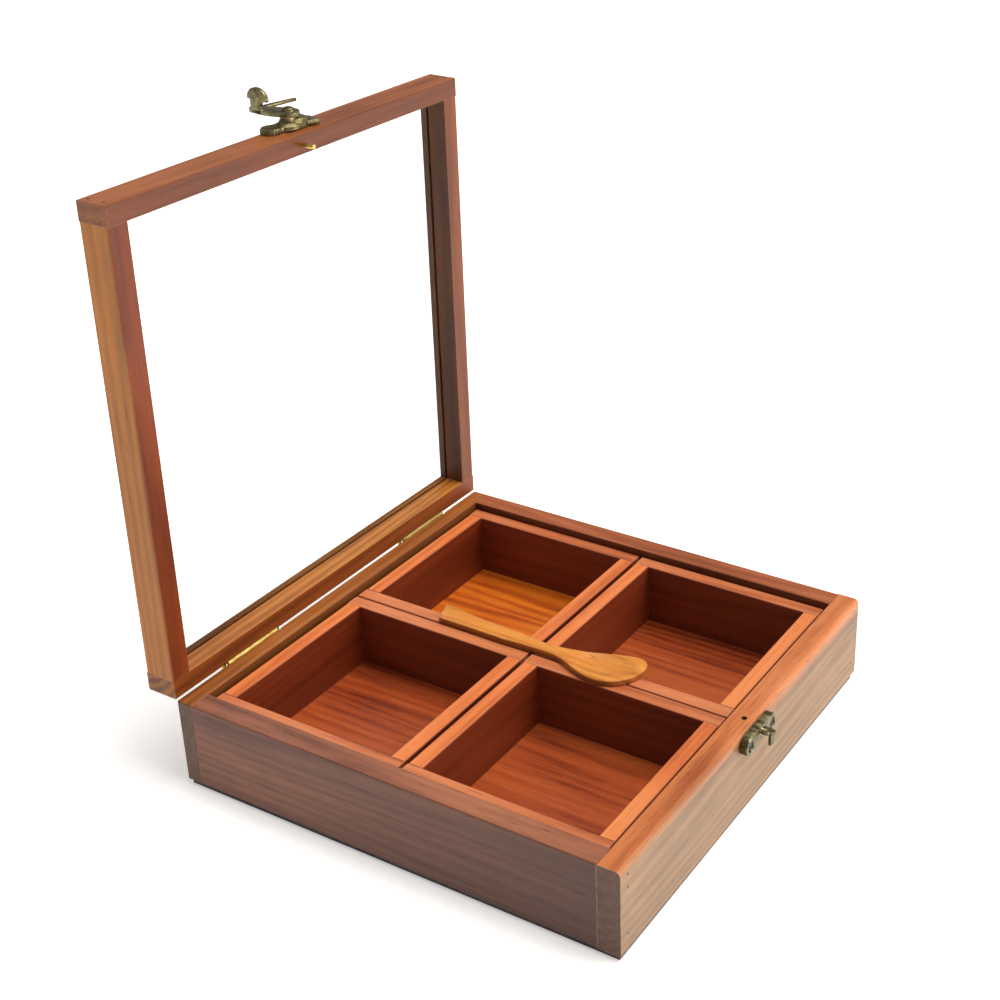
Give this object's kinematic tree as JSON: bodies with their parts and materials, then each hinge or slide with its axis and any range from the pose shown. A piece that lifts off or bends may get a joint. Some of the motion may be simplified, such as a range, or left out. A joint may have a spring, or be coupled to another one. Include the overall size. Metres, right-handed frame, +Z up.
{
  "type": "wooden spice box",
  "caption": "Square wooden spice box with lift-out trays, a glazed hinged lid, a swinging hook latch with its catch, and a wooden spoon.",
  "frame": {"origin": "middle of the underside of the base board, between the outer faces of the case", "axes": "+Z up, +Y from the latch side towards the hinges, +X to the right seen from the latch side; stored with the lid open"},
  "size_m": [0.23, 0.2667, 0.2957],
  "materials": {
    "case_wood": "oiled hardwood",
    "lid_wood": "oiled hardwood",
    "tray_wood": "oiled hardwood",
    "base_board": "thin board",
    "spoon_wood": "bare pale wood",
    "clear_glass": "clear",
    "bright_brass": "polished",
    "antique_bronze": "antiqued",
    "nail_steel": "dull"
  },
  "bodies": {
    "case": {"case_front_wall": "case_wood", "case_back_wall": "case_wood", "case_left_wall": "case_wood", "case_right_wall": "case_wood", "case_base_panel": "base_board", "case_corner_brads": "nail_steel", "case_base_nails": "nail_steel", "hinge_left_case_leaf": "bright_brass", "hinge_right_case_leaf": "bright_brass", "hinge_left_pin": "bright_brass", "hinge_right_pin": "bright_brass", "hinge_case_screws": "bright_brass", "catch_plate": "antique_bronze", "catch_screws": "antique_bronze"},
    "lid": {"lid_front_rail": "lid_wood", "lid_back_rail": "lid_wood", "lid_left_rail": "lid_wood", "lid_right_rail": "lid_wood", "lid_glass_pane": "clear_glass", "lid_corner_brads": "nail_steel", "lid_locating_pin": "bright_brass", "hinge_left_lid_leaf": "bright_brass", "hinge_right_lid_leaf": "bright_brass", "hinge_lid_screws": "bright_brass", "latch_base": "antique_bronze", "latch_rivet": "antique_bronze", "latch_screws": "antique_bronze"},
    "latch": {"latch_lever": "antique_bronze"},
    "spoon": {"spoon": "spoon_wood"},
    "tray_front_left": {"tray_front_left_left_wall": "tray_wood", "tray_front_left_right_wall": "tray_wood", "tray_front_left_front_wall": "tray_wood", "tray_front_left_back_wall": "tray_wood", "tray_front_left_floor": "tray_wood"},
    "tray_front_right": {"tray_front_right_left_wall": "tray_wood", "tray_front_right_right_wall": "tray_wood", "tray_front_right_front_wall": "tray_wood", "tray_front_right_back_wall": "tray_wood", "tray_front_right_floor": "tray_wood"},
    "tray_back_left": {"tray_back_left_left_wall": "tray_wood", "tray_back_left_right_wall": "tray_wood", "tray_back_left_front_wall": "tray_wood", "tray_back_left_back_wall": "tray_wood", "tray_back_left_floor": "tray_wood"},
    "tray_back_right": {"tray_back_right_left_wall": "tray_wood", "tray_back_right_right_wall": "tray_wood", "tray_back_right_front_wall": "tray_wood", "tray_back_right_back_wall": "tray_wood", "tray_back_right_floor": "tray_wood"}
  },
  "joints": [
    {"name": "lid_hinge", "type": "hinge", "parent": "case", "child": "lid", "pos_m": [0, 0.1154, 0.0456], "axis": [-1, 0, 0], "range_deg": [-89.5, 0]},
    {"name": "latch_swing", "type": "hinge", "parent": "lid", "child": "latch", "pos_m": [0.003, 0.12269, 0.27607], "axis": [0, -0.0087, 1], "range_deg": [-172, 0]},
    {"name": "front_right_tray_lift", "type": "slide", "parent": "case", "child": "tray_front_right", "axis": [0, 0, 1], "range_m": [0, 0.06]},
    {"name": "back_right_tray_lift", "type": "slide", "parent": "case", "child": "tray_back_right", "axis": [0, 0, 1], "range_m": [0, 0.06]},
    {"name": "front_left_tray_lift", "type": "slide", "parent": "case", "child": "tray_front_left", "axis": [0, 0, 1], "range_m": [0, 0.06]},
    {"name": "back_left_tray_lift", "type": "slide", "parent": "case", "child": "tray_back_left", "axis": [0, 0, 1], "range_m": [0, 0.06]},
    {"name": "spoon_lift", "type": "slide", "parent": "tray_front_right", "child": "spoon", "axis": [0, 0, 1], "range_m": [0, 0.06]}
  ],
  "couplings": [
    {"joint": "back_right_tray_lift", "follows": "front_right_tray_lift", "ratio": 1},
    {"joint": "front_left_tray_lift", "follows": "front_right_tray_lift", "ratio": 1}
  ]
}
